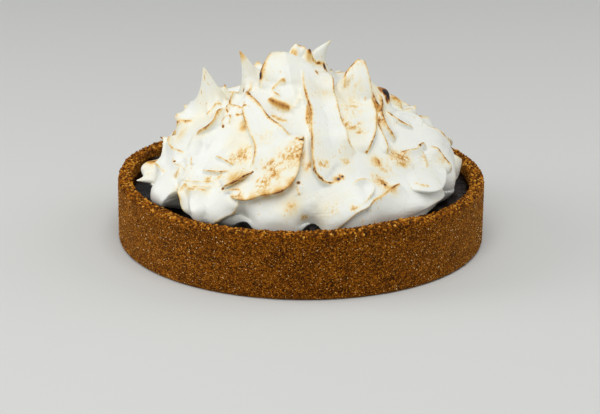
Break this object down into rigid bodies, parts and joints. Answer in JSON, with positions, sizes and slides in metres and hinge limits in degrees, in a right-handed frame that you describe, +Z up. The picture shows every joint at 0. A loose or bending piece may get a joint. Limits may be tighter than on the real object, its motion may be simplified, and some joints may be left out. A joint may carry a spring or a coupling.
{
  "type": "smores pie",
  "caption": "Round straight-sided pie in a biscuit-crumb crust, with a dark chocolate filling under a tall heap of toasted meringue pulled into peaks.",
  "frame": {"origin": "middle of the crust's flat underside", "axes": "+Z up, towards the top of the meringue; -Y is the front that the strokes of the spoon were laid out from; +X to the right"},
  "size_m": [0.229, 0.229, 0.1279],
  "materials": {
    "crumb_crust": "fine baked biscuit crumbs, matte and grainy",
    "dark_chocolate": "smooth dark chocolate, glossy",
    "toasted_meringue": "smooth soft meringue, satin, toasted brown along its crests"
  },
  "bodies": {
    "root": {"crust": "crumb_crust", "filling": "dark_chocolate", "meringue": "toasted_meringue"}
  },
  "joints": []
}
